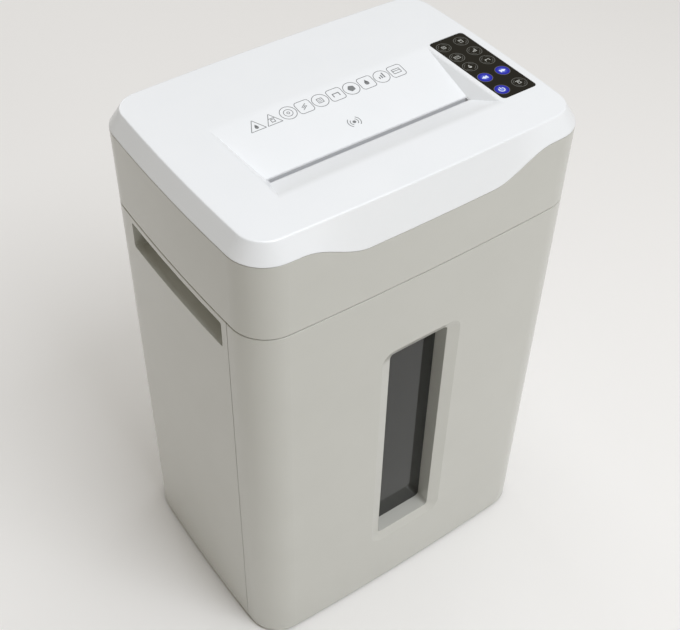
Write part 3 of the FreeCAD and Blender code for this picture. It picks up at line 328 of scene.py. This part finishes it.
def flat_arc(radius, line, at, middle, sweep):
    """Flat ring of which only a sweep about the middle direction is kept; both in degrees."""
    ring = flat_outline(48, radius, line, at)
    bpy.ops.object.mode_set(mode="EDIT")
    bpy.ops.mesh.select_mode(type="FACE")
    bpy.ops.mesh.select_all(action="DESELECT")
    bpy.ops.object.mode_set(mode="OBJECT")
    for face in ring.data.polygons:
        direction = math.degrees(math.atan2(face.center.y - at[1], face.center.x - at[0]))
        away = abs((direction - middle + 180) % 360 - 180)
        face.select = away > sweep / 2
    bpy.ops.object.mode_set(mode="EDIT")
    bpy.ops.mesh.delete(type="FACE")
    bpy.ops.mesh.select_mode(type="VERT")
    bpy.ops.object.mode_set(mode="OBJECT")
    return ring


def joined(name, marks):
    """One object from several."""
    nothing_selected()
    for mark in marks:
        mark.select_set(True)
    bpy.context.view_layer.objects.active = marks[0]
    bpy.ops.object.join()
    mark = bpy.context.object
    mark.name = name
    mark.data.name = name
    return mark


def thickened(mark, way=(0, 0, 1)):
    """Gives flat marks the thickness of a print, the way they face."""
    nothing_selected()
    mark.select_set(True)
    bpy.context.view_layer.objects.active = mark
    bpy.ops.object.mode_set(mode="EDIT")
    bpy.ops.mesh.select_all(action="SELECT")
    step = Vector(way) * print_thickness
    bpy.ops.mesh.extrude_region_move(TRANSFORM_OT_translate={"value": step})
    bpy.ops.mesh.select_all(action="SELECT")
    bpy.ops.mesh.normals_make_consistent(inside=False)
    bpy.ops.object.mode_set(mode="OBJECT")
    return mark


def finished(piece, material, body):
    """Material, slot and body of a finished piece."""
    piece.data.materials.clear()
    piece.data.materials.append(material)
    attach(piece, body)
    return piece


# ---------------------------------------------------------------- marks of the control glass

key_columns = [glass_low.x + 9 * mm, glass_low.x + 31 * mm]
key_rows = [glass_high.y - d * mm for d in (13.0, 34.0, 53.5, 76.0, 100.5)]
key_radius = 7.8 * mm
key_line = 0.7 * mm
glow_rings = 7
lit_keys = [(0, 3), (1, 3), (0, 4)]


def arrow(at, size, turn):
    """Solid arrowhead that points along the turn from +X."""
    return [flat_shape(3, size, at, turn - math.pi / 2, size * 0.12)]


def sheet_glyph(at, size):
    """Upright sheet with two lines on it."""
    marks = [flat_outline(4, size * 0.95, size * 0.16, at, math.pi / 4, size * 0.2)]
    marks += [flat_bar(size * 0.7, size * 0.14, (at[0], at[1] + dy * size)) for dy in (-0.2, 0.2)]
    return marks


def bin_glyph(at, size):
    """Bin: a box under a lid."""
    marks = [flat_outline(4, size * 0.85, size * 0.16, (at[0], at[1] - size * 0.1), math.pi / 4)]
    return marks + [flat_bar(size * 1.5, size * 0.18, (at[0], at[1] + size * 0.72))]


def disc_glyph(at, size):
    """Disc with its hole."""
    return [flat_outline(32, size, size * 0.14, at), flat_outline(24, size * 0.35, size * 0.14, at)]


def card_glyph(at, size):
    """Card with a stripe."""
    frame_bars = [flat_bar(size * 1.9, size * 0.16, (at[0], at[1] + dy * size)) for dy in (-0.6, 0.1, 0.6)]
    ends = [flat_bar(size * 1.2, size * 0.16, (at[0] + dx * size, at[1]), math.pi / 2) for dx in (-0.9, 0.9)]
    return frame_bars + ends


def clip_glyph(at, size):
    """Paper clip: one loop inside another."""
    outer = [flat_bar(size * 1.5, size * 0.15, (at[0], at[1] + dy * size), 0.6) for dy in (-0.35, 0.35)]
    return outer + [flat_bar(size * 1.0, size * 0.15, at, 0.6)]


def staple_glyph(at, size):
    """Staple: a bar with two legs."""
    legs = [flat_bar(size * 0.9, size * 0.22, (at[0] + dx * size, at[1] - size * 0.15), math.pi / 2)
            for dx in (-0.7, 0.7)]
    return legs + [flat_bar(size * 1.6, size * 0.22, (at[0], at[1] + size * 0.3))]


def crumpled_glyph(at, size):
    """Crumpled sheet: a solid lump with blunt corners."""
    return [flat_shape(5, size * 0.9, at, 0.3, size * 0.15)]


def drop_glyph(at, size):
    """Round dot under a pointed top."""
    top = flat_shape(3, size * 0.55, (at[0], at[1] + size * 0.35), 0.0, size * 0.05)
    return [flat_shape(20, size * 0.5, (at[0], at[1] - size * 0.15)), top]


def bars_glyph(at, size):
    """Three bars of rising height."""
    return [flat_bar(size * h, size * 0.3, (at[0] + dx * size, at[1] - size * (1 - h) / 2), math.pi / 2)
            for dx, h in ((-0.55, 0.6), (0.0, 1.0), (0.55, 1.5))]


def slot_glyph(at, size):
    """Lying rectangle with a line above it."""
    marks = [flat_outline(4, size * 0.8, size * 0.2, at, math.pi / 4)]
    return marks + [flat_bar(size * 1.9, size * 0.2, (at[0], at[1] + size * 0.85))]


def power_glyph(at, size):
    """Open ring with a bar in its gap."""
    return [flat_arc(size, size * 0.26, at, -90, 285),
            flat_bar(size * 1.0, size * 0.26, (at[0], at[1] + size * 0.7), math.pi / 2)]


def key_places():
    """Column, row and centre of every key."""
    return [(c, r, (x, y)) for r, y in enumerate(key_rows) for c, x in enumerate(key_columns)]


def on_glass(piece, lift):
    """Thickens flat marks and lays them on the control glass."""
    thickened(piece)
    bpy.ops.transform.translate(value=(0, 0, glass_high.z + lift))
    bpy.ops.object.transform_apply(location=True, rotation=True, scale=True)
    return piece


def key_rings():
    """Printed rings round the keys: a full thin one and a broken inner one."""
    marks = []
    for column, row, at in key_places():
        marks.append(flat_outline(48, key_radius, key_line, at))
        if (column, row) not in lit_keys:
            marks += [flat_arc(key_radius * 0.74, key_line * 0.8, at, middle, 66)
                      for middle in (45, 135, 225, 315)]
    piece = on_glass(joined("key_rings", marks), print_lift)
    return finished(piece, ring_ink, "cabinet")


def key_symbols():
    """Printed symbols of the keys that aren't lit."""
    size = 3.3 * mm
    drawn = {(0, 0): sheet_glyph, (1, 0): bin_glyph, (0, 1): card_glyph, (1, 1): bars_glyph,
             (0, 2): drop_glyph, (1, 2): staple_glyph, (1, 4): slot_glyph}
    marks = []
    for column, row, at in key_places():
        if (column, row) in drawn:
            marks += drawn[(column, row)](at, size)
    piece = on_glass(joined("key_symbols", marks), print_lift)
    return finished(piece, symbol_ink, "cabinet")


def key_glow():
    """Blue light round the lit keys, brightest in the middle."""
    marks = []
    for column, row, at in key_places():
        if (column, row) in lit_keys:
            marks.append(glow_disc(at, key_radius - key_line))
    piece = on_glass(joined("key_glow", marks), print_lift)
    return finished(piece, blue_light, "cabinet")


def glow_disc(at, radius):
    """Disc of rings of faces that carry how near they are to its centre."""
    disc = flat_shape(40, radius, at)
    bpy.ops.object.mode_set(mode="EDIT")
    bpy.ops.mesh.select_all(action="SELECT")
    for _ in range(glow_rings - 1):
        bpy.ops.mesh.inset(thickness=radius / glow_rings)
    bpy.ops.object.mode_set(mode="OBJECT")
    glow = disc.data.attributes.new("glow", "FLOAT", "POINT")
    for vertex in disc.data.vertices:
        distance = (vertex.co.xy - Vector(at)).length
        glow.data[vertex.index].value = max(0.0, 1 - distance / radius)
    return disc


def key_lights():
    """Symbols of the lit keys: back, forward and power."""
    size = 3.4 * mm
    marks = []
    for column, row, at in key_places():
        if (column, row) == (0, 3):
            for shift in (-0.35, 0.5):
                marks += arrow((at[0] + shift * size, at[1]), size * 0.8, math.pi)
        if (column, row) == (1, 3):
            for shift in (-0.5, 0.35):
                marks += arrow((at[0] + shift * size, at[1]), size * 0.8, 0.0)
        if (column, row) == (0, 4):
            marks += power_glyph(at, size)
    piece = on_glass(joined("key_lights", marks), symbol_lift)
    return finished(piece, pale_light, "cabinet")


# ---------------------------------------------------------------- marks of the cover

pictogram_size = 16.0 * mm
pictogram_pitch = 17.9 * mm
pictogram_row_y = 20.0 * mm
pictogram_start_x = -85.0 * mm
start_mark_y = -19.0 * mm
wave_radii = (4.3 * mm, 6.9 * mm)
wave_line = 0.75 * mm
wave_sweep = 110


def on_cover(piece):
    """Lays flat marks on the cover along Z and thickens them."""
    nothing_selected()
    piece.select_set(True)
    bpy.context.view_layer.objects.active = piece
    bpy.ops.transform.translate(value=(0, 0, cover_high.z + 10 * mm))
    bpy.ops.object.transform_apply(location=True, rotation=True, scale=True)
    wrap = piece.modifiers.new("lay", "SHRINKWRAP")
    wrap.wrap_method = "PROJECT"
    wrap.use_project_z = True
    wrap.use_negative_direction = True
    wrap.use_positive_direction = False
    wrap.target = frame["nodes"]["top_cover"]
    wrap.offset = print_lift
    bpy.ops.object.modifier_apply(modifier="lay")
    return thickened(piece)


def pictograms():
    """Row of outlined pictograms on the feed ramp: what the machine takes."""
    line = 0.7 * mm
    size = pictogram_size * 0.3
    glyphs = [drop_glyph, slot_glyph, disc_glyph, clip_glyph, sheet_glyph, staple_glyph, crumpled_glyph,
              drop_glyph, bars_glyph, card_glyph]
    marks = []
    for i, glyph in enumerate(glyphs):
        at = (pictogram_start_x + i * pictogram_pitch, pictogram_row_y)
        if i < 2:
            low = (at[0], at[1] - pictogram_size * 0.12)
            marks.append(flat_outline(3, pictogram_size * 0.62, line, low, 0.0, 1.2 * mm))
            marks += glyph(low, size * 0.8)
        elif i % 2:
            marks.append(flat_outline(4, pictogram_size * 0.73, line, at, math.pi / 4, 3.5 * mm))
            marks += glyph(at, size)
        else:
            marks.append(flat_outline(40, pictogram_size * 0.54, line, at))
            marks += glyph(at, size)
    piece = on_cover(joined("feed_pictograms", marks))
    return finished(piece, cover_ink, "cabinet")


def start_mark():
    """Mark by the slot: a dot with waves, where the paper starts the machine."""
    at = (-2.0 * mm, start_mark_y)
    marks = [flat_shape(24, 1.8 * mm, at)]
    for middle in (0, 180):
        marks += [flat_arc(radius, wave_line, at, middle, wave_sweep) for radius in wave_radii]
    piece = on_cover(joined("start_mark", marks))
    return finished(piece, cover_ink, "cabinet")


# ---------------------------------------------------------------- marks of the power switch

def rocker_marks():
    """Bar and ring moulded in white in the rocker's face."""
    rocker_x = (rocker_low.x + rocker_high.x) / 2
    rocker_z = (rocker_low.z + rocker_high.z) / 2
    offset = 3.9 * mm
    marks = [flat_bar(3.4 * mm, 0.7 * mm, (offset, 0), math.pi / 2),
             flat_outline(32, 1.7 * mm, 0.55 * mm, (-offset, 0))]
    piece = joined("rocker_marks", marks)
    piece.rotation_euler.x = math.pi / 2
    piece.location = (rocker_x, rocker_high.y + 5 * mm, rocker_z)
    bpy.ops.object.transform_apply(location=True, rotation=True, scale=True)
    wrap = piece.modifiers.new("lay", "SHRINKWRAP")
    wrap.wrap_method = "PROJECT"
    wrap.use_project_y = True
    wrap.use_negative_direction = True
    wrap.use_positive_direction = False
    wrap.target = frame["nodes"]["switch_rocker"]
    wrap.offset = print_lift
    bpy.ops.object.modifier_apply(modifier="lay")
    thickened(piece, (0, 1, 0))
    return finished(piece, white_ink, "power_rocker")


ring_ink = screen_ink("screen_ink_dim_grey", "#5d5e5a")
symbol_ink = screen_ink("screen_ink_light_grey", "#b9bbb6")
cover_ink = screen_ink("screen_ink_mid_grey", "#7c7f81")
white_ink = screen_ink("screen_ink_white", "#e8e8e4")
blue_light = key_light("blue_back_light", "#8fa8ff", "#0f14a4", 1.0)
pale_light = key_light("pale_back_light", "#e6eeff", "#e6eeff", 1.0)

key_rings()
key_symbols()
key_glow()
key_lights()
pictograms()
start_mark()
rocker_marks()


# ---------------------------------------------------------------- floor, light, camera

def studio():
    """Pale floor, soft lights and an even sky."""
    nothing_selected()
    bpy.ops.mesh.primitive_plane_add(size=24.0, location=(0, 0, 0))
    floor = bpy.context.object
    floor.name = "studio_floor"
    material, tree, _ = new_material("matt_studio_paper")
    close(tree, Base_Color=linear("#f6f6f5"), Roughness=0.9)
    floor.data.materials.append(material)

    world = bpy.data.worlds.new("studio")
    bpy.context.scene.world = world
    world.use_nodes = True
    sky = world.node_tree.nodes["Background"]
    sky.inputs["Color"].default_value = linear("#f3e7d2")
    sky.inputs["Strength"].default_value = 0.28

    target = Vector((0, 0, 0.35))
    for name, at, size, power, colour in (
            ("overhead_softbox", (0.5, -0.1, 4.2), 2.6, 61.0, "#f8faff"),
            ("key_softbox", (0.4, -1.9, 3.3), 1.6, 60.0, "#f8faff"),
            ("rear_softbox", (0.0, 3.0, 1.6), 1.6, 14.0, "#f8faff"),
            ("front_softbox", (0.6, -2.2, 0.5), 1.2, 3.0, "#fffaf2")):
        bpy.ops.object.light_add(type="AREA", location=at)
        lamp = bpy.context.object
        lamp.name = name
        lamp.data.size = size
        lamp.data.energy = power
        lamp.data.color = linear(colour)[:3]
        lamp.rotation_euler = (Vector(at) - target).to_track_quat("Z", "Y").to_euler()


def photographer():
    """Camera above the front left corner, looking down and turned a little about its own axis."""
    azimuth = math.radians(-36.336)
    elevation = math.radians(45.017)
    roll = math.radians(1.400)
    back = Vector((math.sin(azimuth) * math.cos(elevation),
                   -math.cos(azimuth) * math.cos(elevation), math.sin(elevation)))
    right = Vector((math.cos(azimuth), math.sin(azimuth), 0))
    up = back.cross(right)
    rolled_right = right * math.cos(roll) + up * math.sin(roll)
    rolled_up = up * math.cos(roll) - right * math.sin(roll)
    pose = Matrix((rolled_right, rolled_up, back)).transposed().to_4x4()
    pose.translation = Vector((-0.52386, -0.71342, 1.20531))
    bpy.ops.object.camera_add()
    camera = bpy.context.object
    camera.matrix_world = pose
    camera.data.sensor_width = 36.0
    camera.data.lens = 60.27
    bpy.context.scene.camera = camera


studio()
photographer()
bpy.context.scene.view_settings.view_transform = "Standard"
